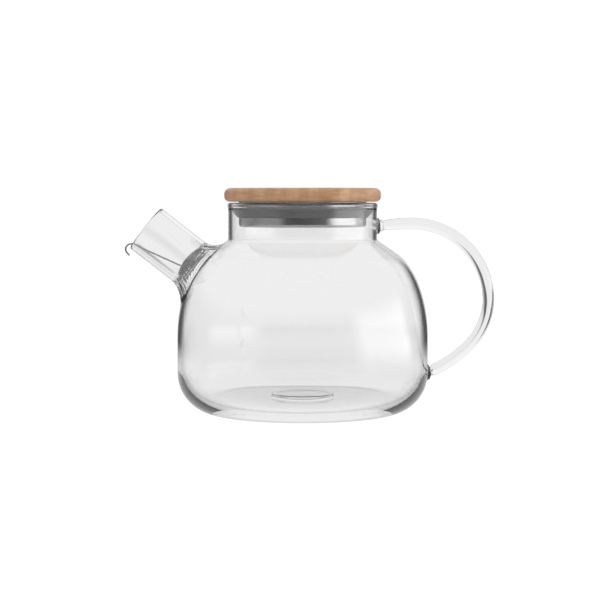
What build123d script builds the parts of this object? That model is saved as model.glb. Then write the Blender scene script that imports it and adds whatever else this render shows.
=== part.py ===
from build123d import *
import os
from math import atan2, cos, degrees, pi, radians, sin, sqrt, tan

# Glass teapot: a blown vessel with a straight tube spout and a bent rod handle, a bamboo lid
# with a steel cup and a silicone seal, and a coiled wire strainer in the root of the spout.
# Millimetres. Origin on the vessel's axis, on the surface it stands on. +Z is up, the spout
# points along -X and the handle along +X.

# ---- driving dimensions ----------------------------------------------------------------------

# Vessel
body_radius = 67.7  # outside, at the straight wall
heel_radius = 22.0  # outside round between the base and the wall
wall_height = 20.0  # straight wall between heel and shoulder
shoulder_height = 47.4  # vertical half axis of the elliptical shoulder
shoulder_reach = 25.6  # horizontal half axis of the elliptical shoulder
shoulder_slope = 34.6  # degrees from level where the shoulder turns into a cone
neck_radius = 40.3  # outside
neck_round = 2.2  # inside corner between shoulder and neck
neck_height = 24.5  # from the top of the shoulder's ellipse to the rim
glass_wall = 1.8
base_thickness = 4.0
rim_bead_width = 2.2  # fire-polished bead, wider than the wall it closes
rim_bead_height = 3.0

# Push-up in the middle of the base
punt_radius = 17.0  # inside face
punt_height = 7.0  # inside face above the table
punt_wall = 2.0
punt_round = 0.9

# Spout
spout_tilt = 38.0  # degrees above level
spout_seat = 51.8  # eccentric angle on the shoulder's ellipse where the axis leaves the glass
spout_length = 34.2  # from the shoulder to the mouth, along the axis
spout_radius = 13.75  # outside
spout_wall = 2.0
spout_flare_height = 4.0  # where the root starts to widen
spout_flare_round = 8.0
spout_flare_sweep = 45.0  # degrees of the round before it runs on straight into the shoulder
spout_inner_reach = 22.0  # the bore is drilled from this far back, inside the vessel
spout_lip_round = 0.9

# Handle
handle_rod_radius = 3.15
handle_drop = 12.6  # from the rim down to the upper joint
handle_rise = 1.4  # from the upper joint up to the top of the ear
handle_setback = 8.5  # top of the ear, in from the widest wall
handle_crown_radius = 41.3
handle_crown_sweep = 85.9
handle_ear_radius = 35.15
handle_ear_sweep = 48.2
handle_foot_height = 22.0
pad_radius = 4.3
pad_thickness = 1.3
collar_radius = 3.7
collar_thickness = 2.9
pad_round = 0.5

# Lid
lid_overhang = 2.0  # past the outside of the neck
lid_thickness = 7.4
lid_gap = 0.6  # between the rim and the underside of the disc
lid_top_round = 3.3
lid_bottom_round = 2.6
cup_depth = 13.6  # below the underside of the disc
cup_metal = 0.6
cup_round = 1.6
cup_flange_width = 2.6  # past the wall of the cup
seal_drop = 3.2  # from the underside of the disc to the top of the seal
seal_height = 5.4
seal_band = 1.6  # height of the seal's full-width lip
seal_root = 0.7  # thickness of the seal at its lower edge
seal_gap = 4.1  # between the cup and the inside of the neck, filled by the seal
seal_clearance = 0.2

# Strainer
wire_radius = 0.45
turn_pitch = 0.8  # close-wound turns, a little less than the wire so that they merge
dome_rise = 3.7
dome_seat = 2.6  # where the dome meets the straight turns, out from the shoulder
first_turn_radius = 1.3
straight_turns = 5
coil_clearance = 0.3
arm_offset = 4.2  # where the arm leaves the dome, below the spout's axis
wire_gap = 0.2
hook_radius = 2.9
hook_sweep = 160.0
hook_tail = 1.8

# ---- derived places --------------------------------------------------------------------------

shoulder_base = heel_radius + wall_height
shoulder_centre_x = body_radius - shoulder_reach
rim_height = shoulder_base + shoulder_height + neck_height
inside = 5.0  # how far a joined piece is drawn into the vessel before it is trimmed
beyond = 3.0  # how far a cut runs past the glass

spout_angle = radians(spout_tilt)
seat_angle = radians(spout_seat)
spout_root = (
    -(shoulder_centre_x + shoulder_reach * cos(seat_angle)),
    0,
    shoulder_base + shoulder_height * sin(seat_angle),
)
spout_out = (-cos(spout_angle), 0, sin(spout_angle))
spout_up = (sin(spout_angle), 0, cos(spout_angle))
spout_plane = Plane(origin=spout_root, x_dir=spout_up, z_dir=spout_out)
spout_section = Plane(origin=spout_root, x_dir=spout_up, z_dir=(0, -1, 0))
spout_axis = Axis(spout_root, spout_out)
spout_bore = spout_radius - spout_wall

lid_underside = rim_height + lid_gap
lid_radius = neck_radius + lid_overhang
cup_radius = neck_radius - glass_wall - seal_gap  # outside
cup_flange_radius = cup_radius + cup_flange_width
seal_radius = neck_radius - glass_wall - seal_clearance
seal_top = lid_underside - seal_drop


def vessel_section(inset, floor, top):
    """Half section of the vessel from floor to top, its walls moved in from the outer face."""
    wall = body_radius - inset
    heel = heel_radius - inset
    neck = neck_radius - inset
    reach = shoulder_reach - inset
    rise = shoulder_height - inset
    slope = radians(shoulder_slope)
    bend = neck_round + inset
    bend_length = bend * tan((pi / 2 - slope) / 2)
    with BuildSketch(Plane.XZ) as section:
        with BuildLine():
            Line((0, top), (0, floor))
            Line((0, floor), (wall - heel, floor))
            TangentArc((wall - heel, floor), (wall, floor + heel), tangent=(1, 0))
            Line((wall, floor + heel), (wall, shoulder_base))
            dome = EllipticalCenterArc(
                (shoulder_centre_x, shoulder_base),
                reach,
                rise,
                arc_size=degrees(atan2(rise, reach * tan(slope))),
            )
            dome_end = dome @ 1
            corner = Vector(neck, dome_end.Y + (dome_end.X - neck) * tan(slope))
            bend_start = corner + Vector(cos(slope), -sin(slope)) * bend_length
            cone = Line(dome_end, bend_start)
            bend_end = corner + Vector(0, bend_length)
            TangentArc(bend_start, bend_end, tangent=cone % 1)
            Polyline(bend_end, (neck, top), (0, top))
        make_face()
    return section.sketch


outer_section = vessel_section(0, 0, rim_height - rim_bead_height / 2)

os.makedirs("parts", exist_ok=True)

# ---- glass vessel ----------------------------------------------------------------------------

with BuildPart() as glass_body:
    # The outer shape, with the bead that closes the rim
    revolve(outer_section, axis=Axis.Z)
    with BuildSketch(Plane.XZ):
        bead_x = neck_radius - glass_wall + rim_bead_width / 2
        with Locations((bead_x, rim_height - rim_bead_height / 2)):
            Ellipse(rim_bead_width / 2, rim_bead_height / 2)
    revolve(axis=Axis.Z)
    # The hollow, with the push-up left standing on its floor
    revolve(
        vessel_section(glass_wall, base_thickness, rim_height + beyond),
        axis=Axis.Z,
        mode=Mode.SUBTRACT,
    )
    with BuildSketch(Plane.XY):
        Circle(punt_radius)
    extrude(amount=punt_height)
    punt_top = glass_body.faces().sort_by_distance((0, 0, punt_height))[0]
    fillet(punt_top.edges(), radius=punt_round)
    # The hollow under the push-up
    with BuildSketch(Plane.XY):
        Circle(punt_radius - punt_wall)
    extrude(amount=punt_height - punt_wall, mode=Mode.SUBTRACT)
    # The hole that the spout is joined over
    with BuildSketch(spout_plane.offset(-spout_inner_reach)):
        Circle(spout_bore)
    extrude(amount=2 * spout_inner_reach, mode=Mode.SUBTRACT)
glass_body.part.label = "glass_body"
export_step(glass_body.part, "parts/glass_body.step")

# ---- spout -----------------------------------------------------------------------------------

with BuildPart() as glass_spout:
    with BuildSketch(spout_plane.offset(-inside)):
        Circle(spout_radius)
    extrude(amount=inside + spout_length)
    # The flared root: part of a round, then a straight cone into the vessel
    with BuildSketch(spout_section):
        with BuildLine():
            flare_angle = radians(spout_flare_sweep)
            flare_x = spout_radius + spout_flare_round * (1 - cos(flare_angle))
            flare_y = spout_flare_height - spout_flare_round * sin(flare_angle)
            cone_drop = inside + flare_y
            neck_edge = Line((0, spout_flare_height), (spout_radius, spout_flare_height))
            TangentArc(neck_edge @ 1, (flare_x, flare_y), tangent=(0, -1))
            Polyline(
                (flare_x, flare_y),
                (flare_x + cone_drop * tan(flare_angle), -inside),
                (0, -inside),
                (0, spout_flare_height),
            )
        make_face()
    revolve(axis=spout_axis)
    # The bore, the trimmed root and the rounded mouth
    with BuildSketch(spout_plane.offset(-spout_inner_reach)):
        Circle(spout_bore)
    extrude(amount=spout_inner_reach + spout_length + beyond, mode=Mode.SUBTRACT)
    revolve(outer_section, axis=Axis.Z, mode=Mode.SUBTRACT)
    fillet(glass_spout.faces().sort_by(spout_axis)[-1].edges(), radius=spout_lip_round)
glass_spout.part.label = "glass_spout"
export_step(glass_spout.part, "parts/glass_spout.step")

# ---- handle ----------------------------------------------------------------------------------

upper_joint = Vector(neck_radius, 0, rim_height - handle_drop)
ear_top = Vector(body_radius - handle_setback, 0, upper_joint.Z + handle_rise)
foot_joint = Vector(body_radius, 0, handle_foot_height)

with BuildLine(Plane.XZ) as handle_line:
    lead = TangentArc(ear_top, upper_joint, tangent=(-1, 0))
    Line(lead @ 1, lead @ 1 + (lead % 1) * inside)
    crown = JernArc(ear_top, (1, 0), handle_crown_radius, -handle_crown_sweep)
    ear = JernArc(crown @ 1, crown % 1, handle_ear_radius, -handle_ear_sweep)
    tail = TangentArc(ear @ 1, foot_joint, tangent=ear % 1)
    Line(tail @ 1, tail @ 1 + (tail % 1) * inside)
handle_wire = handle_line.wire()

with BuildPart() as glass_handle:
    with BuildSketch(Plane(origin=handle_wire @ 0, z_dir=handle_wire % 0)):
        Circle(handle_rod_radius)
    sweep(path=handle_wire)
    # At each joint a flat pad against the vessel, then a narrower collar round the rod
    pad_corner = (pad_thickness, pad_radius)
    collar_corner = (collar_thickness, collar_radius)
    for joint in (upper_joint, foot_joint):
        with BuildSketch(Plane(origin=joint, x_dir=(1, 0, 0), z_dir=(0, -1, 0))) as joint_section:
            with BuildLine():
                Polyline(
                    (-inside, 0),
                    (-inside, pad_radius),
                    pad_corner,
                    (pad_thickness, collar_radius),
                    collar_corner,
                    (collar_thickness, 0),
                    close=True,
                )
            make_face()
            for corner in (pad_corner, collar_corner):
                fillet(joint_section.vertices().sort_by_distance(corner)[0], radius=pad_round)
        revolve(axis=Axis(joint, (1, 0, 0)))
    revolve(outer_section, axis=Axis.Z, mode=Mode.SUBTRACT)
glass_handle.part.label = "glass_handle"
export_step(glass_handle.part, "parts/glass_handle.step")

# ---- lid -------------------------------------------------------------------------------------

with BuildPart() as bamboo_lid:
    with BuildSketch(Plane.XY.offset(lid_underside)):
        Circle(lid_radius)
    extrude(amount=lid_thickness)
    fillet(bamboo_lid.edges().sort_by(Axis.Z)[-1], radius=lid_top_round)
    fillet(bamboo_lid.edges().sort_by(Axis.Z)[0], radius=lid_bottom_round)
    # Shallow seat that the cup's flange is glued into
    with BuildSketch(Plane.XY.offset(lid_underside)):
        Circle(cup_flange_radius)
    extrude(amount=cup_metal, mode=Mode.SUBTRACT)
bamboo_lid.part.label = "bamboo_lid"
export_step(bamboo_lid.part, "parts/bamboo_lid.step")

with BuildPart() as steel_lid_cup:
    with BuildSketch(Plane.XY.offset(lid_underside - cup_depth)):
        Circle(cup_radius)
    extrude(amount=cup_depth + cup_metal)
    fillet(steel_lid_cup.edges().sort_by(Axis.Z)[0], radius=cup_round)
    offset(amount=-cup_metal, openings=steel_lid_cup.faces().sort_by(Axis.Z)[-1])
    with BuildSketch(Plane.XY.offset(lid_underside)):
        Circle(cup_flange_radius)
        Circle(cup_radius - cup_metal, mode=Mode.SUBTRACT)
    extrude(amount=cup_metal)
steel_lid_cup.part.label = "steel_lid_cup"
export_step(steel_lid_cup.part, "parts/steel_lid_cup.step")

with BuildPart() as silicone_gasket:
    with BuildSketch(Plane.XZ):
        with BuildLine():
            Polyline(
                (cup_radius, seal_top),
                (seal_radius, seal_top),
                (seal_radius, seal_top - seal_band),
                (cup_radius + seal_root, seal_top - seal_height),
                (cup_radius, seal_top - seal_height),
                close=True,
            )
        make_face()
    revolve(axis=Axis.Z)
silicone_gasket.part.label = "silicone_gasket"
export_step(silicone_gasket.part, "parts/silicone_gasket.step")

# ---- spout strainer --------------------------------------------------------------------------

coil_radius = spout_bore - wire_radius - coil_clearance  # centre of the wire in the widest turn
dome_radius = (coil_radius**2 + dome_rise**2) / (2 * dome_rise)
dome_edge = atan2(coil_radius, dome_radius - dome_rise)
dome_first = atan2(first_turn_radius, dome_radius)
dome_turns = round((dome_edge - dome_first) * dome_radius / turn_pitch)

# Where each turn's wire crosses the half plane above the spout's axis
turn_centres = []
for turn in range(dome_turns + 1):
    angle = dome_first + (dome_edge - dome_first) * turn / dome_turns
    sink = dome_radius * (1 - cos(angle))
    turn_centres.append((dome_radius * sin(angle), dome_seat + dome_rise - sink))
for turn in range(1, straight_turns + 1):
    turn_centres.append((coil_radius, dome_seat - turn * turn_pitch))

arm_start = (
    -arm_offset,
    dome_seat + dome_rise - dome_radius + sqrt(dome_radius**2 - arm_offset**2),
)
arm_end = (-(spout_bore - wire_radius - wire_gap), spout_length - wire_gap)

with BuildLine(spout_section) as arm_line:
    arm = Line(arm_start, arm_end)
    hook = JernArc(arm @ 1, arm % 1, hook_radius, hook_sweep)
    Line(hook @ 1, hook @ 1 + (hook % 1) * hook_tail)
arm_wire = arm_line.wire()

with BuildPart() as spout_strainer:
    with BuildSketch(spout_section):
        with Locations(*turn_centres):
            Circle(wire_radius)
    revolve(axis=spout_axis)
    with BuildSketch(Plane(origin=arm_wire @ 0, z_dir=arm_wire % 0)):
        Circle(wire_radius)
    sweep(path=arm_wire)
spout_strainer.part.label = "spout_strainer"
export_step(spout_strainer.part, "parts/spout_strainer.step")
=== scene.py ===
from math import atan2, cos, pi, radians, sin, sqrt, tan

import bmesh
import bpy
import numpy as np
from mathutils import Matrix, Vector


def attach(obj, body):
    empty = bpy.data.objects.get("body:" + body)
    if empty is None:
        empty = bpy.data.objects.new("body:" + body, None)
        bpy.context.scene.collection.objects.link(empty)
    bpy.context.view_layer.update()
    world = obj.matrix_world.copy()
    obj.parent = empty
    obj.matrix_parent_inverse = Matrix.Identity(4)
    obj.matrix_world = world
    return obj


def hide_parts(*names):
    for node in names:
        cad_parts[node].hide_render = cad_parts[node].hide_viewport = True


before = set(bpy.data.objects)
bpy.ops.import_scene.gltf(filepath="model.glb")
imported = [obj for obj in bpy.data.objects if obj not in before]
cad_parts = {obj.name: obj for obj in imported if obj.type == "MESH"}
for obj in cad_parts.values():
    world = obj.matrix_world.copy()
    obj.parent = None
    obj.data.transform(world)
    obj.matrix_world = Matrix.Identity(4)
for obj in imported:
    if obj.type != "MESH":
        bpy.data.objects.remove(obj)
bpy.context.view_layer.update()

# ---- camera ----------------------------------------------------------------------------------
# A long lens a metre in front of the pot, level with its lid and tipped down a little, so that
# the lid shows edge on and the base shows as a thin ellipse.

mm = 0.001
lens_height = 118  # above the table, mm
lens_distance = 1000
lens_aim = 61.3  # height of the point it looks at
lens_shift = -1.4  # towards the spout
glass_bounces = 28  # light turns many times inside the thick glass joints
camera_data = bpy.data.cameras.new("product_camera")
camera_data.lens = 111.0
camera_data.sensor_width = 36.0
camera_data.clip_start = 0.05
camera_data.clip_end = 60.0
camera = bpy.data.objects.new("product_camera", camera_data)
bpy.context.scene.collection.objects.link(camera)
camera.location = (lens_shift * mm, -lens_distance * mm, lens_height * mm)
camera_target = Vector((lens_shift * mm, 0, lens_aim * mm))
camera.rotation_euler = (camera_target - camera.location).to_track_quat("-Z", "Y").to_euler()
bpy.context.scene.camera = camera
bpy.context.scene.view_settings.view_transform = "Standard"
bpy.context.scene.cycles.max_bounces = glass_bounces
bpy.context.scene.cycles.transmission_bounces = glass_bounces

# ---- floor -----------------------------------------------------------------------------------
# A white table of matt card. Seen directly, it and the room are one even white. The light that
# they send to the pot is different: it is shaped by direction, and the table near the pot is even.


def linear(colour):
    """Linear RGBA for an sRGB hex colour."""
    channels = [int(colour[place : place + 2], 16) / 255 for place in (1, 3, 5)]
    return [c / 12.92 if c <= 0.04045 else ((c + 0.055) / 1.055) ** 2.4 for c in channels] + [1]


def add(tree, kind, settings=None, links=None):
    """A node of one kind, with its properties or inputs set, and sockets linked into it."""
    node = tree.nodes.new(kind)
    for name, value in (settings or {}).items():
        if isinstance(name, str) and name not in node.inputs:
            setattr(node, name, value)
        else:
            node.inputs[name].default_value = value
    for name, socket in (links or {}).items():
        tree.links.new(socket, node.inputs[name])
    return node


def new_material(name):
    material = bpy.data.materials.new(name)
    material.use_nodes = True
    material.node_tree.nodes.clear()
    return material, material.node_tree


def new_piece(name, bm, material):
    """Turns a finished bmesh into a smooth shaded piece at the origin."""
    mesh = bpy.data.meshes.new(name)
    bm.to_mesh(mesh)
    bm.free()
    mesh.shade_smooth()
    mesh.materials.append(material)
    piece = bpy.data.objects.new(name, mesh)
    bpy.context.scene.collection.objects.link(piece)
    return piece


# Degrees from the middle of the backdrop, towards the handle, and brightness
backdrop = (
    (-180, 0.12), (-152, 0.12), (-138, 0.5), (-100, 0.5), (-88, 0.35), (-60, 0.45), (-46, 0.6),
    (-34, 0.12), (-21, 0.12), (-16, 0.92), (16, 0.92), (21, 0.12), (34, 0.12), (46, 0.6),
    (66, 0.7), (76, 2.1), (122, 2.1), (137, 0.2), (180, 0.12),
)
ceiling_level = 0.95  # well above and well below level
level_reach = 0.12  # steeper than this, the walls give way to the ceiling's brightness
ceiling_reach = 0.38
card_level = 0.86  # the table near the pot
card_near = 0.28  # metres from the pot
card_far = 0.55
table_half = 20
brightest = max(level for _, level in backdrop)
seen_level = 1.05  # the plain white that shows straight past the pot


def room_light(tree, place):
    """How bright the room is in the direction of a place, seen from the pot."""
    parts = add(tree, "ShaderNodeSeparateXYZ", links={0: place})
    links = {0: parts.outputs["X"], 1: parts.outputs["Y"]}
    turn = add(tree, "ShaderNodeMath", {"operation": "ARCTAN2"}, links)
    settings = {"operation": "MULTIPLY_ADD", 1: 1 / (2 * pi), 2: 0.5}
    share = add(tree, "ShaderNodeMath", settings, {0: turn.outputs[0]})
    ramp = add(tree, "ShaderNodeValToRGB", links={"Fac": share.outputs[0]})
    stops = ramp.color_ramp.elements
    stops.remove(stops[0])
    for number, (angle, level) in enumerate(backdrop):
        stop = stops.new(angle / 360 + 0.5) if number < len(backdrop) - 1 else stops[-1]
        stop.color = [level / brightest] * 3 + [1]
    settings = {"operation": "MULTIPLY", 1: brightest}
    walls = add(tree, "ShaderNodeMath", settings, {0: ramp.outputs["Color"]})
    settings = {"From Min": level_reach, "From Max": ceiling_reach}
    settings["interpolation_type"] = "SMOOTHSTEP"
    steep = add(tree, "ShaderNodeMath", {"operation": "ABSOLUTE"}, {0: parts.outputs["Z"]})
    off_level = add(tree, "ShaderNodeMapRange", settings, {"Value": steep.outputs[0]})
    links = {"Factor": off_level.outputs[0], "A": walls.outputs[0]}
    return add(tree, "ShaderNodeMix", {"data_type": "FLOAT", "B": ceiling_level}, links).outputs[0]


def plain_when_seen(tree, level):
    """Plain white to the eye, and the given level to the light that falls on the pot."""
    ray = add(tree, "ShaderNodeLightPath")
    links = {"Factor": ray.outputs["Is Camera Ray"], "A": level}
    return add(tree, "ShaderNodeMix", {"data_type": "FLOAT", "B": seen_level}, links).outputs[0]


white_card, tree = new_material("white_matt_card")
place = add(tree, "ShaderNodeTexCoord").outputs["Object"]
away = add(tree, "ShaderNodeVectorMath", {"operation": "LENGTH"}, {0: place})
settings = {"From Min": card_near, "From Max": card_far, "interpolation_type": "SMOOTHSTEP"}
far = add(tree, "ShaderNodeMapRange", settings, {"Value": away.outputs["Value"]})
links = {"Factor": far.outputs[0], "B": room_light(tree, place)}
glow = add(tree, "ShaderNodeMix", {"data_type": "FLOAT", "A": card_level}, links)
card = add(tree, "ShaderNodeEmission", links={"Strength": plain_when_seen(tree, glow.outputs[0])})
add(tree, "ShaderNodeOutputMaterial", links={"Surface": card.outputs[0]})
bm = bmesh.new()
bmesh.ops.create_grid(bm, x_segments=1, y_segments=1, size=table_half)
table = new_piece("table", bm, white_card)

# ---- studio light ----------------------------------------------------------------------------
# A bright backdrop behind the pot with a narrow dark strip at each side of it, a large soft panel
# towards the handle, a weaker one towards the spout, and a dim room in front.

world = bpy.data.worlds.new("studio")
bpy.context.scene.world = world
world.use_nodes = True
tree = world.node_tree
tree.nodes.clear()
around = add(tree, "ShaderNodeTexCoord").outputs["Generated"]
level = plain_when_seen(tree, room_light(tree, around))
air = add(tree, "ShaderNodeBackground", {"Color": linear("#FFFFFF")}, {"Strength": level})
add(tree, "ShaderNodeOutputWorld", links={"Surface": air.outputs[0]})

# ---- glass vessel ----------------------------------------------------------------------------
# Clear borosilicate glass, blown in a mould: a straight wall between a round heel and a domed
# shoulder, a plain neck with a fire-polished bead at the rim, and a push-up in the base.

body_radius = 67.7
heel_radius = 22.0
wall_top = 42.0
shoulder_rise = 47.4
shoulder_reach = 25.6
shoulder_slope = radians(34.6)
neck_radius = 40.3
neck_round = 2.2
rim_height = 113.9
wall_thickness = 1.8
floor_thickness = 4.0
bead_width = 2.2
bead_height = 3.0
bead_sweep = radians(280)
punt_radius = 17.0
punt_height = 7.0
punt_wall = 2.0
punt_round = 0.9
heel_rows = 24
wall_rows = 14
shoulder_rows = 36
cone_rows = 8
bend_rows = 6
neck_rows = 11
columns = 192
under_rows = 8  # across the hollow under the push-up
punt_round_rows = 6
punt_wall_rows = 4
base_rows = 20
bead_rows = 22
floor_rows = 18
punt_inside_rows = 3
punt_top_rows = 10
merge_gap = 0.005


def arc(points, centre, radii, start, sweep, rows):
    """Adds an elliptical arc to a profile."""
    for row in range(1, rows + 1):
        turn = start + sweep * row / rows
        points.append((centre[0] + radii[0] * cos(turn), centre[1] + radii[1] * sin(turn)))


def run(points, end, rows):
    """Adds a straight run to a profile."""
    x, z = points[-1]
    for row in range(1, rows + 1):
        points.append((x + (end[0] - x) * row / rows, z + (end[1] - z) * row / rows))


def skin_profile(inset, floor, top, finer=1):
    """One face of the vessel's wall, from the edge of the floor up to the rim."""
    heel = heel_radius - inset
    reach = shoulder_reach - inset
    rise = shoulder_rise - inset
    neck = neck_radius - inset
    bend = neck_round + inset
    turn = atan2(rise, reach * tan(shoulder_slope))
    points = [(body_radius - heel_radius, floor)]
    heel_centre = (body_radius - heel_radius, floor + heel)
    arc(points, heel_centre, (heel, heel), -pi / 2, pi / 2, heel_rows * finer)
    run(points, (body_radius - inset, wall_top), wall_rows * finer)
    shoulder_centre = (body_radius - shoulder_reach, wall_top)
    arc(points, shoulder_centre, (reach, rise), 0, turn, shoulder_rows * finer)
    cone_top = points[-1][1] + (points[-1][0] - neck) * tan(shoulder_slope)
    tangent = bend * tan((pi / 2 - shoulder_slope) / 2)
    bend_start = (neck + tangent * cos(shoulder_slope), cone_top - tangent * sin(shoulder_slope))
    run(points, bend_start, cone_rows * finer)
    bend_sweep = shoulder_slope - pi / 2
    bend_centre = (neck + bend, cone_top + tangent)
    arc(points, bend_centre, (bend, bend), -pi + -bend_sweep, bend_sweep, bend_rows * finer)
    run(points, (neck, top), neck_rows * finer)
    return points


skin_top = rim_height - bead_height
outer_skin = skin_profile(0, 0, skin_top)
inner_skin = skin_profile(wall_thickness, floor_thickness, skin_top)
small_round = (punt_round, punt_round)
under_radius = punt_radius - punt_wall
under_height = punt_height - punt_wall

profile = [(0, under_height)]
under_centre = (under_radius - punt_round, under_height - punt_round)
run(profile, (under_radius - punt_round, under_height), under_rows)
arc(profile, under_centre, small_round, pi / 2, -pi / 2, punt_round_rows)
run(profile, (under_radius, punt_round), punt_wall_rows)
arc(profile, (under_radius + punt_round, punt_round), small_round, pi, pi / 2, punt_round_rows)
run(profile, outer_skin[0], base_rows)
profile += outer_skin[1:]
bead_centre = (neck_radius - wall_thickness + bead_width / 2, rim_height - bead_height / 2)
bead_start = (pi - bead_sweep) / 2
arc(profile, bead_centre, (bead_width / 2, bead_height / 2), bead_start, bead_sweep, bead_rows)
profile += inner_skin[::-1]
punt_foot = (punt_radius + punt_round, floor_thickness + punt_round)
run(profile, (punt_radius + punt_round, floor_thickness), floor_rows)
arc(profile, punt_foot, small_round, -pi / 2, -pi / 2, punt_round_rows)
run(profile, (punt_radius, punt_height - punt_round), punt_inside_rows)
punt_shoulder = (punt_radius - punt_round, punt_height - punt_round)
arc(profile, punt_shoulder, small_round, 0, pi / 2, punt_round_rows)
run(profile, (0, punt_height), punt_top_rows)


def spun(profile, steps):
    """Spins a profile once round the pot's axis into a closed skin."""
    bm = bmesh.new()
    chain = [bm.verts.new((x * mm, 0, z * mm)) for x, z in profile]
    chain += [bm.edges.new(pair) for pair in zip(chain, chain[1:])]
    whole = {"cent": (0, 0, 0), "axis": (0, 0, 1), "angle": 2 * pi, "use_merge": True}
    bmesh.ops.spin(bm, geom=chain, steps=steps, **whole)
    bmesh.ops.remove_doubles(bm, verts=bm.verts, dist=merge_gap * mm)
    bmesh.ops.recalc_face_normals(bm, faces=bm.faces)
    return bm


glass = spun(profile, columns)

# ---- glass spout -----------------------------------------------------------------------------
# A straight glass tube, flared at the root and fused in the flame to a hole in the shoulder, so
# that the wall runs on from one into the other. Its cut mouth is fire polished.

spout_tilt = radians(38)
spout_seat = radians(51.8)
spout_length = 34.2
spout_radius = 13.75
spout_bore = 11.75
upper_fillet = 6.6
lower_fillet = 8.6
inner_fillet = 3.0  # the fused seam is thicker than the walls that it joins
tube_start = 14.0  # above here the tube is straight
fillet_rows = 26
tube_rows = 9
lip_rows = 8
spout_half = 13  # half width of its window in the shoulder, in columns
rows_below_spout = 6
spout_first_row = heel_rows + wall_rows + rows_below_spout
spout_last_row = heel_rows + wall_rows + shoulder_rows + cone_rows
body_middle = Vector((0, 0, 60 * mm))
probe = 0.01 * mm  # how far apart a slope is measured
drape_passes = 5

spout_root = Vector(
    (
        -(body_radius - shoulder_reach + shoulder_reach * cos(spout_seat)) * mm,
        0,
        (wall_top + shoulder_rise * sin(spout_seat)) * mm,
    )
)
spout_out = Vector((-cos(spout_tilt), 0, sin(spout_tilt)))
spout_up = Vector((sin(spout_tilt), 0, cos(spout_tilt)))
spout_side = Vector((0, 1, 0))


def open_window(skin, outside, angle, half, first, last):
    """Takes a window out of one face of the wall, and gives the vertices of its edge in order."""
    width = (half + 0.1) * 2 * pi / columns
    window = []
    for face in glass.faces:
        centre = face.calc_center_median()
        around = (atan2(centre.y, centre.x) - angle + pi) % (2 * pi) - pi
        between = skin[first][1] * mm < centre.z < skin[last][1] * mm
        faces_out = face.normal.dot(centre - body_middle) > 0
        if between and abs(around) < width and faces_out == outside:
            window.append(face)
    inside = set(window)
    rim = [edge for face in window for edge in face.edges if not inside.issuperset(edge.link_faces)]
    bmesh.ops.delete(glass, geom=window, context="FACES")
    loop = list(rim[0].verts)
    rim = set(rim[1:])
    while rim:
        edge = next(edge for edge in loop[-1].link_edges if edge in rim)
        rim.remove(edge)
        loop.append(edge.other_vert(loop[-1]))
    return loop[:-1]


def places(loop):
    return np.array([vert.co for vert in loop])


def aligned(loop, goal):
    """The same loop, started and turned so that its vertices lie nearest to the goal's points."""
    spots = places(loop)
    tries = []
    for way in (1, -1):
        for turn in range(len(loop)):
            gap = ((np.roll(spots[::way], -turn, axis=0) - goal) ** 2).sum()
            tries.append((gap, way, turn))
    _, way, turn = min(tries)
    return (loop[::way] * 2)[turn : turn + len(loop)]


def grow(loop, goal):
    """Extrudes a closed loop of vertices to new places, and gives the new loop."""
    pairs = zip(loop, loop[1:] + loop[:1])
    edges = [next(edge for edge in a.link_edges if edge.other_vert(a) is b) for a, b in pairs]
    made = set(bmesh.ops.extrude_edge_only(glass, edges=edges)["geom"])
    fresh = []
    for vert in loop:
        ends = (edge.other_vert(vert) for edge in vert.link_edges)
        fresh.append(next(end for end in ends if end in made))
    for vert, point in zip(fresh, goal):
        vert.co = point
    return fresh


def ring(centre, radius, angles, across, up):
    """Points on a circle, each at its own angle from up."""
    turn = angles[:, None]
    way = np.cos(turn) * np.array(up) + np.sin(turn) * np.array(across)
    return np.array(centre) + radius * way


def beyond_skin(points, skin):
    """How far each point lies outside a profile of the vessel."""
    flat = np.stack([np.hypot(points[:, 0], points[:, 1]), points[:, 2]], 1)[:, None]
    start, step = skin[None, :-1], np.diff(skin, axis=0)[None]
    share = ((flat - start) * step).sum(2) / (step * step).sum(2)
    away = flat - start - np.clip(share, 0, 1)[..., None] * step
    gaps = np.hypot(away[..., 0], away[..., 1])
    nearest = gaps.argmin(1)
    rows = np.arange(len(points))
    away, step = away[rows, nearest], step[0, nearest]
    return gaps[rows, nearest] * np.sign(step[:, 1] * away[:, 0] - step[:, 0] * away[:, 1])


def melted(points, skin, radius, fillets):
    """How far each point lies outside the vessel and the tube once a fillet has joined them."""
    wall = beyond_skin(points, skin)
    from_root = points - np.array(spout_root)
    along = from_root @ np.array(spout_out)
    tube = np.sqrt((from_root**2).sum(1) - along**2) - radius
    near = np.hypot(np.maximum(fillets - wall, 0), np.maximum(fillets - tube, 0))
    return np.maximum(fillets, np.minimum(wall, tube)) - near


def drape(points, skin, radius, fillets):
    """Moves points straight on to the melted joint."""
    shape = (skin, radius, fillets)
    for _ in range(drape_passes):
        ways = np.eye(3) * probe
        rises = [melted(points + way, *shape) - melted(points - way, *shape) for way in ways]
        slope = np.stack(rises, 1) / (2 * probe)
        level = melted(points, *shape)
        points = points - (level / (slope**2).sum(1))[:, None] * slope
    return points


def spout_angles(loop):
    """Even angles round the spout, turned to follow a window's edge."""
    from_root = places(loop) - np.array(spout_root)
    across, up = from_root @ np.array(spout_side), from_root @ np.array(spout_up)
    around = np.unwrap(np.arctan2(across, up))
    even = np.sign(around[-1] - around[0]) * np.arange(len(loop)) * 2 * pi / len(loop)
    return even + (around - even).mean()


spout_window = (pi, spout_half, spout_first_row, spout_last_row)
outer_window = open_window(outer_skin, True, *spout_window)
inner_window = open_window(inner_skin, False, *spout_window)
inner_window = aligned(inner_window, places(outer_window))
angles = spout_angles(outer_window)
fillets = lower_fillet + (upper_fillet - lower_fillet) * (1 + np.cos(angles)) / 2
inner_fillets = np.full(len(angles), inner_fillet)


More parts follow.
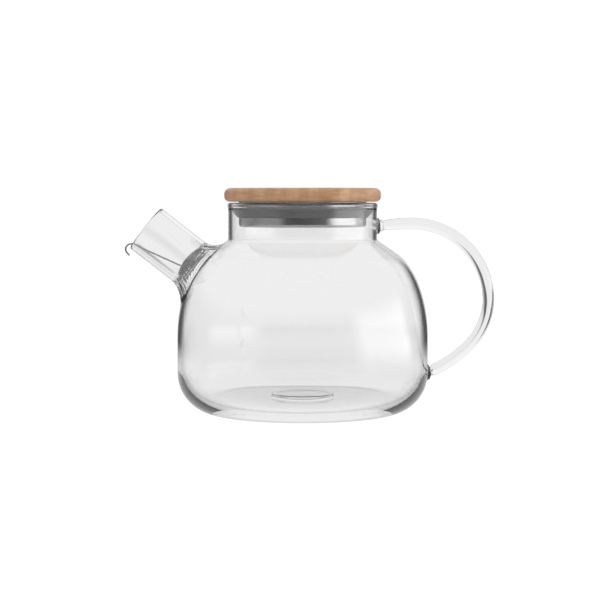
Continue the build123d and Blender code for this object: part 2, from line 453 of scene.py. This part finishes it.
def spout_ring(radius, height):
    return ring(spout_root + spout_out * height * mm, radius * mm, angles, spout_side, spout_up)


def joint_rings(window, skin, radius, fillets):
    """Rings from a window's edge to the straight tube, over the fillet."""
    fine = np.array(skin) * mm
    start, end = places(window), spout_ring(radius, tube_start)
    shares = [row / fillet_rows for row in range(1, fillet_rows + 1)]
    shape = (fine, radius * mm, fillets * mm)
    return [drape(start + (end - start) * share, *shape) for share in shares]


wall = spout_radius - spout_bore
outer_fine = skin_profile(0, 0, skin_top, 2)
inner_fine = skin_profile(wall_thickness, floor_thickness, skin_top, 2)
loop = outer_window
for goal in joint_rings(outer_window, outer_fine, spout_radius, fillets):
    loop = grow(loop, goal)
straight = spout_length - wall / 2 - tube_start
heights = [tube_start + straight * row / tube_rows for row in range(tube_rows + 1)]
for height in heights[1:]:
    loop = grow(loop, spout_ring(spout_radius, height))
for row in range(1, lip_rows + 1):
    turn = pi * row / lip_rows
    lip_radius = spout_bore + wall / 2 + wall / 2 * cos(turn)
    loop = grow(loop, spout_ring(lip_radius, heights[-1] + wall / 2 * sin(turn)))
for height in heights[-2::-1]:
    loop = grow(loop, spout_ring(spout_bore, height))
for goal in joint_rings(inner_window, inner_fine, spout_bore, inner_fillets)[-2::-1]:
    loop = grow(loop, goal)
loop = grow(loop, places(inner_window))
bmesh.ops.weld_verts(glass, targetmap=dict(zip(loop, inner_window)))

# ---- glass handle ----------------------------------------------------------------------------
# A solid glass rod bent into an ear. Each end is pressed on to the wall while it is soft, which
# leaves a flat pad, a narrower ring and a waist before the rod is full size.

rod_radius = 3.15
handle_drop = 12.6  # from the rim to the upper joint
handle_rise = 1.4
handle_setback = 8.5
crown_radius = 41.3
crown_sweep = radians(85.9)
ear_radius = 35.15
ear_sweep = radians(48.2)
foot_height = 22.0
rod_row = 1.1
neck_pad_rows = 8
foot_pad_rows = 5  # above and below the end of the heel
neck_first_row = heel_rows + wall_rows + shoulder_rows + cone_rows + bend_rows
neck_last_row = neck_first_row + neck_pad_rows
neck_half = 4
foot_first_row = heel_rows - foot_pad_rows
foot_last_row = heel_rows + foot_pad_rows
foot_half = 3
neck_pad_shares = (0.35, 0.65, 0.88)  # rows of the wall between the window and the rod's end
foot_pad_shares = (0.12, 0.35, 0.65)
wall_passes = 4
# Distance along the rod from the wall, and the rod's radius there
neck_joint = (
    (0.0, 4.9), (0.1, 4.5), (0.35, 4.28), (0.8, 4.25), (1.15, 4.0), (1.3, 3.45), (1.5, 3.05),
    (1.75, 2.98), (2.05, 3.12), (2.45, 3.2), (2.75, 3.1), (3.0, 2.8), (3.3, 2.66), (3.9, 2.64),
    (4.8, 2.7), (6.0, 2.78), (8.0, 2.9), (10.5, 3.02), (13.5, 3.12), (16.0, rod_radius),
)
foot_joint = (
    (0.0, 4.9), (0.1, 4.45), (0.35, 4.2), (0.8, 4.15), (1.1, 3.9), (1.3, 3.3), (1.6, 2.75),
    (1.9, 2.5), (2.2, 2.45), (2.5, 2.55), (2.8, 2.75), (3.2, 2.95), (3.8, 3.05), (5.0, 3.12),
    (6.5, rod_radius),
)

upper_joint = Vector((neck_radius, rim_height - handle_drop))
ear_top = Vector((body_radius - handle_setback, upper_joint.y + handle_rise))
foot = Vector((body_radius, foot_height))


def bend_to(start, heading, goal):
    """Radius and turn of the arc that leaves start at a heading and ends at the goal."""
    way = goal - start
    turn = (heading - atan2(way.y, way.x) + pi) % (2 * pi) - pi
    return way.length / (2 * sin(turn)), 2 * turn


def bend(rod, radius, sweep):
    """Adds a bend to the right to the rod's line of places and headings."""
    place, heading = rod[-1]
    centre = place + radius * Vector((sin(heading), -cos(heading)))
    rows = round(radius * sweep / rod_row)
    for row in range(1, rows + 1):
        turned = heading - sweep * row / rows
        rod.append((centre - radius * Vector((sin(turned), -cos(turned))), turned))


rise = ear_top - upper_joint
rod = [(upper_joint, 2 * atan2(rise.y, rise.x))]
bend(rod, *bend_to(*rod[-1], ear_top))
bend(rod, crown_radius, crown_sweep)
bend(rod, ear_radius, ear_sweep)
bend(rod, *bend_to(*rod[-1], foot))

lengths = [0.0]
for (a, _), (b, _) in zip(rod, rod[1:]):
    lengths.append(lengths[-1] + (b - a).length)
rod_length = lengths[-1]
foot_end = [(rod_length - s, radius) for s, radius in foot_joint[::-1]]
stations = [s for s, _ in neck_joint]
stations += list(np.arange(neck_joint[-1][0] + rod_row, rod_length - foot_joint[-1][0], rod_row))
stations += [s for s, _ in foot_end]
thickness = np.interp(stations, *zip(*neck_joint, *foot_end))
squared = 4.0  # over this length the rod's rings turn square to the wall
upper_window = open_window(outer_skin, True, 0, neck_half, neck_first_row, neck_last_row)
foot_window = open_window(outer_skin, True, 0, foot_half, foot_first_row, foot_last_row)
from_joint = places(upper_window) - np.array((upper_joint.x, 0, upper_joint.y)) * mm
around = np.unwrap(np.arctan2(from_joint[:, 1], from_joint[:, 2]))
even = np.sign(around[-1] - around[0]) * np.arange(len(around)) * 2 * pi / len(around)
angles = even + (around - even).mean()


def rod_ring(station, radius):
    """The ring of the rod at a distance along its line."""
    x = np.interp(station, lengths, [place.x for place, _ in rod])
    z = np.interp(station, lengths, [place.y for place, _ in rod])
    heading = np.interp(station, lengths, [turned for _, turned in rod])
    heading *= min(1, station / squared)
    left = min(1, (rod_length - station) / squared)
    heading = heading * left - pi * (1 - left)
    up = (-sin(heading), 0, cos(heading))
    return ring((x * mm, 0, z * mm), radius * mm, angles, (0, 1, 0), up)


def on_wall(points):
    """Moves points straight on to the outside of the vessel."""
    fine = np.array(outer_fine) * mm
    for _ in range(wall_passes):
        ways = np.eye(3) * probe
        rises = [beyond_skin(points + way, fine) - beyond_skin(points - way, fine) for way in ways]
        slope = np.stack(rises, 1)
        slope /= 2 * probe
        points = points - beyond_skin(points, fine)[:, None] * slope
    return points


loop = upper_window
for share in neck_pad_shares:
    goal = rod_ring(0, neck_joint[0][1])
    loop = grow(loop, on_wall(places(upper_window) * (1 - share) + goal * share))
for station, radius in zip(stations, thickness):
    goal = rod_ring(station, radius)
    loop = grow(loop, on_wall(goal) if station in (0, rod_length) else goal)
foot_window = aligned(foot_window, places(loop))
foot_ring = places(loop)
for share in foot_pad_shares:
    loop = grow(loop, on_wall(foot_ring * (1 - share) + places(foot_window) * share))
loop = grow(loop, places(foot_window))
bmesh.ops.weld_verts(glass, targetmap=dict(zip(loop, foot_window)))

bmesh.ops.recalc_face_normals(glass, faces=glass.faces)

# Clear and colourless face on. Where the surface is seen edge on, its colour is darkened to grey:
# painted shade for the dark outlines of glass. Blowing leaves a faint slow waviness, about 30 mm
# from wave to wave.

borosilicate, tree = new_material("clear_borosilicate_glass")
facing = add(tree, "ShaderNodeLayerWeight", {"Blend": 0.5})
# Painted shade: the glass colour turns from near white to grey as the surface turns edge on
painted_edge_shade = add(tree, "ShaderNodeValToRGB", links={"Fac": facing.outputs["Facing"]})
painted_edge_shade.color_ramp.elements[0].position = 0.68
painted_edge_shade.color_ramp.elements[0].color = linear("#FBFBFB")
painted_edge_shade.color_ramp.elements[1].position = 0.88
painted_edge_shade.color_ramp.elements[1].color = linear("#7C7D7D")
place = add(tree, "ShaderNodeTexCoord")
links = {"Vector": place.outputs["Object"]}
waves = add(tree, "ShaderNodeTexNoise", {"Scale": 34.0, "Detail": 1.0}, links)
settings = {"Strength": 0.05, "Distance": 0.4 * mm}
bump = add(tree, "ShaderNodeBump", settings, {"Height": waves.outputs["Fac"]})
settings = {"Roughness": 0.0, "IOR": 1.473, "Transmission Weight": 1.0}
links = {"Base Color": painted_edge_shade.outputs["Color"], "Normal": bump.outputs["Normal"]}
shader = add(tree, "ShaderNodeBsdfPrincipled", settings, links)
add(tree, "ShaderNodeOutputMaterial", links={"Surface": shader.outputs[0]})
glass_pot = new_piece("glass_pot", glass, borosilicate)
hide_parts("glass_body", "glass_spout", "glass_handle")
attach(glass_pot, "pot")

# ---- bamboo lid disc -------------------------------------------------------------------------
# A disc turned from a board of glued bamboo strips that run from front to back, so its edge shows
# cut fibres at the front and long grain at the sides. Its edges are rounded and it is oiled.

disc_underside = 114.5
disc_thickness = 7.4
disc_radius = 42.3
disc_top_round = 3.3
disc_bottom_round = 2.6
flange_radius = 37.0
cup_metal = 0.6
strip_width = 5.2
strip_shift = 0.37  # of a strip, so that no joint lies on the middle line
disc_columns = 160
disc_top = disc_underside + disc_thickness

profile = [(0, disc_underside + cup_metal)]
run(profile, (flange_radius, disc_underside + cup_metal), 12)
run(profile, (flange_radius, disc_underside), 1)
run(profile, (disc_radius - disc_bottom_round, disc_underside), 2)
bottom_round = (disc_bottom_round, disc_bottom_round)
bottom_centre = (disc_radius - disc_bottom_round, disc_underside + disc_bottom_round)
arc(profile, bottom_centre, bottom_round, -pi / 2, pi / 2, 10)
run(profile, (disc_radius, disc_top - disc_top_round), 2)
top_round = (disc_top_round, disc_top_round)
top_centre = (disc_radius - disc_top_round, disc_top - disc_top_round)
arc(profile, top_centre, top_round, 0, pi / 2, 12)
run(profile, (0, disc_top), 20)

# Carbonised bamboo: each strip has its own shade, with fine dark fibre bundles about 0.5 mm across
# that run along it and show as specks where they are cut

bamboo, tree = new_material("oiled_carbonised_bamboo")
place = add(tree, "ShaderNodeTexCoord")
parts = add(tree, "ShaderNodeSeparateXYZ", links={0: place.outputs["Object"]})
settings = {"operation": "MULTIPLY_ADD", 1: 1 / (strip_width * mm), 2: strip_shift}
strip = add(tree, "ShaderNodeMath", settings, {0: parts.outputs["X"]})
number = add(tree, "ShaderNodeMath", {"operation": "FLOOR"}, {0: strip.outputs[0]})
shade = add(tree, "ShaderNodeTexWhiteNoise", {"noise_dimensions": "1D"}, {"W": number.outputs[0]})
within = add(tree, "ShaderNodeMath", {"operation": "FRACT"}, {0: strip.outputs[0]})
from_joint = add(tree, "ShaderNodeMath", {"operation": "PINGPONG", 1: 0.5}, {0: within.outputs[0]})
settings = {"From Min": 0.0, "From Max": 0.03, "To Min": 0.22, "To Max": 0.0}
joint = add(tree, "ShaderNodeMapRange", settings, {"Value": from_joint.outputs[0]})
along = add(tree, "ShaderNodeMapping", {"Scale": (1, 0.03, 1)}, {"Vector": place.outputs["Object"]})
settings = {"Scale": 900.0, "Detail": 3.0, "Roughness": 0.6}
grain = add(tree, "ShaderNodeTexNoise", settings, {"Vector": along.outputs[0]})
links = {"Vector": along.outputs[0]}
broad = add(tree, "ShaderNodeTexNoise", {"Scale": 160.0, "Detail": 3.0}, links)
settings = {"Scale": 1900.0, "Randomness": 1.0, "feature": "F1"}
fibres = add(tree, "ShaderNodeTexVoronoi", settings, {"Vector": along.outputs[0]})
settings = {"From Min": 0.16, "From Max": 0.42, "To Min": 1.0, "To Max": 0.0}
bundle = add(tree, "ShaderNodeMapRange", settings, {"Value": fibres.outputs["Distance"]})
light_wood, dark_wood, fibre_wood = linear("#DFB48B"), linear("#CF9F75"), linear("#8A5E3A")
settings = {"data_type": "RGBA", 6: light_wood, 7: dark_wood}
plain = add(tree, "ShaderNodeMix", settings, {"Factor": shade.outputs["Value"]})
settings = {"From Min": 0.38, "From Max": 0.68, "To Min": 0.0, "To Max": 0.55}
streak = add(tree, "ShaderNodeMapRange", settings, {"Value": broad.outputs["Fac"]})
links = {"Factor": streak.outputs[0], 6: plain.outputs[2]}
streaked = add(tree, "ShaderNodeMix", {"data_type": "RGBA", 7: linear("#AD7A50")}, links)
links = {"Vector": place.outputs["Object"]}
layered = add(tree, "ShaderNodeMapping", {"Scale": (0.1, 0.03, 1)}, links)
links = {"Vector": layered.outputs[0]}
layers = add(tree, "ShaderNodeTexNoise", {"Scale": 1100.0, "Detail": 2.0}, links)
settings = {"From Min": 0.45, "From Max": 0.7, "To Min": 0.0, "To Max": 0.35}
layer = add(tree, "ShaderNodeMapRange", settings, {"Value": layers.outputs["Fac"]})
links = {0: bundle.outputs[0], 1: grain.outputs["Fac"]}
specks = add(tree, "ShaderNodeMath", {"operation": "MULTIPLY"}, links)
links = {0: layer.outputs[0], 1: joint.outputs[0]}
lines = add(tree, "ShaderNodeMath", {"operation": "MAXIMUM"}, links)
links = {0: specks.outputs[0], 1: lines.outputs[0]}
marks = add(tree, "ShaderNodeMath", {"operation": "MAXIMUM"}, links)
links = {"Factor": marks.outputs[0], 6: streaked.outputs[2]}
wood = add(tree, "ShaderNodeMix", {"data_type": "RGBA", 7: fibre_wood}, links)
settings = {"To Min": 0.3, "To Max": 0.44}
gloss = add(tree, "ShaderNodeMapRange", settings, {"Value": grain.outputs["Fac"]})
settings = {"Strength": 0.25, "Distance": 0.06 * mm, "invert": True}
bump = add(tree, "ShaderNodeBump", settings, {"Height": marks.outputs[0]})
links = {"Base Color": wood.outputs[2], "Roughness": gloss.outputs[0]}
links["Normal"] = bump.outputs["Normal"]
shader = add(tree, "ShaderNodeBsdfPrincipled", {"IOR": 1.5}, links)
add(tree, "ShaderNodeOutputMaterial", links={"Surface": shader.outputs[0]})

edge_angle = radians(40)  # sharper corners than this stay crisp
disc = new_piece("bamboo_disc", spun(profile, disc_columns), bamboo)
disc.data.set_sharp_from_angle(angle=edge_angle)
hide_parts("bamboo_lid")
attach(disc, "lid")

# ---- steel lid cup ---------------------------------------------------------------------------
# A shallow cup pressed from stainless sheet and polished, with a flange that is glued into the
# seat under the disc. Its underside faces the tea.

cup_radius = 34.4
cup_bottom = 100.9
cup_round = 1.6
flange_bend = 0.5
inner_round = cup_round - cup_metal
cup_columns = 144

profile = [(0, cup_bottom)]
run(profile, (cup_radius - cup_round, cup_bottom), 16)
corner = (cup_radius - cup_round, cup_bottom + cup_round)
arc(profile, corner, (cup_round, cup_round), -pi / 2, pi / 2, 8)
run(profile, (cup_radius, disc_underside - flange_bend), 8)
bend_centre = (cup_radius + flange_bend, disc_underside - flange_bend)
arc(profile, bend_centre, (flange_bend, flange_bend), pi, -pi / 2, 5)
run(profile, (flange_radius, disc_underside), 2)
run(profile, (flange_radius, disc_underside + cup_metal), 1)
run(profile, (cup_radius - cup_metal, disc_underside + cup_metal), 3)
run(profile, (cup_radius - cup_metal, cup_bottom + cup_round), 6)
arc(profile, corner, (inner_round, inner_round), 0, -pi / 2, 6)
run(profile, (0, cup_bottom + cup_metal), 10)

# Polished on a spindle: bright, with faint rings about 0.6 mm apart left by the buffing wheel

polished, tree = new_material("buffed_stainless_sheet")
place = add(tree, "ShaderNodeTexCoord")
parts = add(tree, "ShaderNodeSeparateXYZ", links={0: place.outputs["Object"]})
flat = add(tree, "ShaderNodeCombineXYZ", links={"X": parts.outputs["X"], "Y": parts.outputs["Y"]})
reach = add(tree, "ShaderNodeVectorMath", {"operation": "LENGTH"}, {0: flat.outputs[0]})
links = {0: reach.outputs["Value"], 1: parts.outputs["Z"]}
spread = add(tree, "ShaderNodeMath", {"operation": "ADD"}, links)
settings = {"noise_dimensions": "1D", "Scale": 1600.0, "Detail": 2.0}
rings = add(tree, "ShaderNodeTexNoise", settings, {"W": spread.outputs[0]})
settings = {"To Min": 0.14, "To Max": 0.26}
gloss = add(tree, "ShaderNodeMapRange", settings, {"Value": rings.outputs["Fac"]})
settings = {"Strength": 0.15, "Distance": 0.02 * mm}
bump = add(tree, "ShaderNodeBump", settings, {"Height": rings.outputs["Fac"]})
shader = add(
    tree,
    "ShaderNodeBsdfPrincipled",
    {"Base Color": linear("#B6B6B8"), "Metallic": 1.0},
    {"Roughness": gloss.outputs[0], "Normal": bump.outputs["Normal"]},
)
add(tree, "ShaderNodeOutputMaterial", links={"Surface": shader.outputs[0]})

cup = new_piece("pressed_cup", spun(profile, cup_columns), polished)
cup.data.set_sharp_from_angle(angle=edge_angle)
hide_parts("steel_lid_cup")
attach(cup, "lid")

# ---- silicone seal ---------------------------------------------------------------------------
# A moulded grey ring stretched round the cup. Its full-width lip is squeezed by the neck, and it
# tapers below so that it finds its way in.

seal_top = 111.3
seal_radius = 38.3
seal_band = 1.6
seal_root = 0.7
seal_height = 5.4
lip_round = 0.45

profile = [(cup_radius, seal_top)]
run(profile, (seal_radius - lip_round, seal_top), 3)
lip_centre = (seal_radius - lip_round, seal_top - lip_round)
arc(profile, lip_centre, (lip_round, lip_round), pi / 2, -pi / 2, 5)
run(profile, (seal_radius, seal_top - seal_band), 2)
run(profile, (cup_radius + seal_root, seal_top - seal_height), 5)
run(profile, (cup_radius, seal_top - seal_height), 1)
run(profile, (cup_radius, seal_top), 4)

# Matt grey, with the fine dull texture of its mould

silicone, tree = new_material("moulded_grey_silicone")
place = add(tree, "ShaderNodeTexCoord")
links = {"Vector": place.outputs["Object"]}
dull = add(tree, "ShaderNodeTexNoise", {"Scale": 2600.0, "Detail": 2.0}, links)
tone = add(tree, "ShaderNodeTexNoise", {"Scale": 120.0, "Detail": 2.0}, links)
settings = {"data_type": "RGBA", 6: linear("#858686"), 7: linear("#8F9090")}
shades = add(tree, "ShaderNodeMix", settings, {"Factor": tone.outputs["Fac"]})
settings = {"To Min": 0.4, "To Max": 0.55}
gloss = add(tree, "ShaderNodeMapRange", settings, {"Value": dull.outputs["Fac"]})
settings = {"Strength": 0.1, "Distance": 0.03 * mm}
bump = add(tree, "ShaderNodeBump", settings, {"Height": dull.outputs["Fac"]})
links = {"Base Color": shades.outputs[2], "Roughness": gloss.outputs[0]}
links["Normal"] = bump.outputs["Normal"]
shader = add(tree, "ShaderNodeBsdfPrincipled", {"IOR": 1.41}, links)
add(tree, "ShaderNodeOutputMaterial", links={"Surface": shader.outputs[0]})

seal = new_piece("lid_seal", spun(profile, cup_columns), silicone)
seal.data.set_sharp_from_angle(angle=edge_angle)
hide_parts("silicone_gasket")
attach(seal, "lid")

# ---- spout strainer --------------------------------------------------------------------------
# One length of stainless spring wire: straight turns that fill the root of the spout, a domed
# spiral that closes them, and an arm led out through the dome that hooks over the pouring lip.

wire_radius = 0.45
coil_radius = 11.0
straight_pitch = 1.45
straight_turns = 3
dome_pitch = 1.4
dome_seat = 2.6
dome_rise = 3.7
dome_hole = 1.2
arm_offset = 4.2
arm_end = (-11.1, 34.0)
hook_radius = 2.9
hook_sweep = radians(160)
hook_tail = 1.8
turn_points = 40
tuck = 2 * wire_radius  # the wire runs this far under the dome from its middle to the arm
tuck_places = (-1.5, -2.3, -3.2)
arm_rows = 12
hook_rows = 20

dome_radius = (coil_radius**2 + dome_rise**2) / (2 * dome_rise)
dome_centre = dome_seat + dome_rise - dome_radius
dome_edge = atan2(coil_radius, dome_radius - dome_rise)
dome_stop = atan2(dome_hole, dome_radius)
dome_turns = round((dome_edge - dome_stop) * dome_radius / dome_pitch)


def dome_height(reach):
    return dome_centre + sqrt(dome_radius**2 - reach**2)


def in_spout(up, out, side=0.0):
    """A place in the spout, from its root on the shoulder."""
    return spout_root + (spout_up * up + spout_out * out + spout_side * side) * mm


wire_line = []
for point in range(straight_turns * turn_points):
    turn = 2 * pi * point / turn_points
    out = dome_seat - (straight_turns - point / turn_points) * straight_pitch
    wire_line.append(in_spout(coil_radius * cos(turn), out, coil_radius * sin(turn)))
for point in range((dome_turns * 2 + 1) * turn_points // 2 + 1):
    turn = 2 * pi * point / turn_points
    wound = point / (dome_turns * turn_points)
    lean = max(dome_edge - (dome_edge - dome_stop) * wound, dome_stop)
    reach = dome_radius * sin(lean)
    out = dome_centre + dome_radius * cos(lean)
    wire_line.append(in_spout(reach * cos(turn), out, reach * sin(turn)))
for up in tuck_places:
    wire_line.append(in_spout(up, dome_height(up) - tuck))
arm_start = (-arm_offset, dome_height(arm_offset))
wire_line.append(in_spout(*arm_start))
for row in range(1, arm_rows + 1):
    share = row / arm_rows
    wire_line.append(in_spout(*(a + (b - a) * share for a, b in zip(arm_start, arm_end))))
heading = atan2(arm_end[1] - arm_start[1], arm_end[0] - arm_start[0])
for row in range(1, hook_rows + 1):
    turned = heading + hook_sweep * row / hook_rows
    up = arm_end[0] - hook_radius * sin(heading) + hook_radius * sin(turned)
    out = arm_end[1] + hook_radius * cos(heading) - hook_radius * cos(turned)
    wire_line.append(in_spout(up, out))
wire_line.append(in_spout(up + hook_tail * cos(turned), out + hook_tail * sin(turned)))

curve = bpy.data.curves.new("strainer_wire", "CURVE")
curve.dimensions = "3D"
curve.bevel_depth = wire_radius * mm
curve.bevel_resolution = 2
curve.use_fill_caps = True
spline = curve.splines.new("POLY")
spline.points.add(len(wire_line) - 1)
for point, spot in zip(spline.points, wire_line):
    point.co = (*spot, 1)
    point.radius = 1.0
spline.use_smooth = True

# Bright drawn wire with fine die marks

drawn, tree = new_material("bright_drawn_steel_wire")
place = add(tree, "ShaderNodeTexCoord")
links = {"Vector": place.outputs["Object"]}
marks = add(tree, "ShaderNodeTexNoise", {"Scale": 2200.0, "Detail": 2.0}, links)
settings = {"To Min": 0.16, "To Max": 0.3}
gloss = add(tree, "ShaderNodeMapRange", settings, {"Value": marks.outputs["Fac"]})
shader = add(
    tree,
    "ShaderNodeBsdfPrincipled",
    {"Base Color": linear("#929294"), "Metallic": 1.0},
    {"Roughness": gloss.outputs[0]},
)
add(tree, "ShaderNodeOutputMaterial", links={"Surface": shader.outputs[0]})
curve.materials.append(drawn)
strainer = bpy.data.objects.new("strainer_wire", curve)
bpy.context.scene.collection.objects.link(strainer)
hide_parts("spout_strainer")
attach(strainer, "strainer")
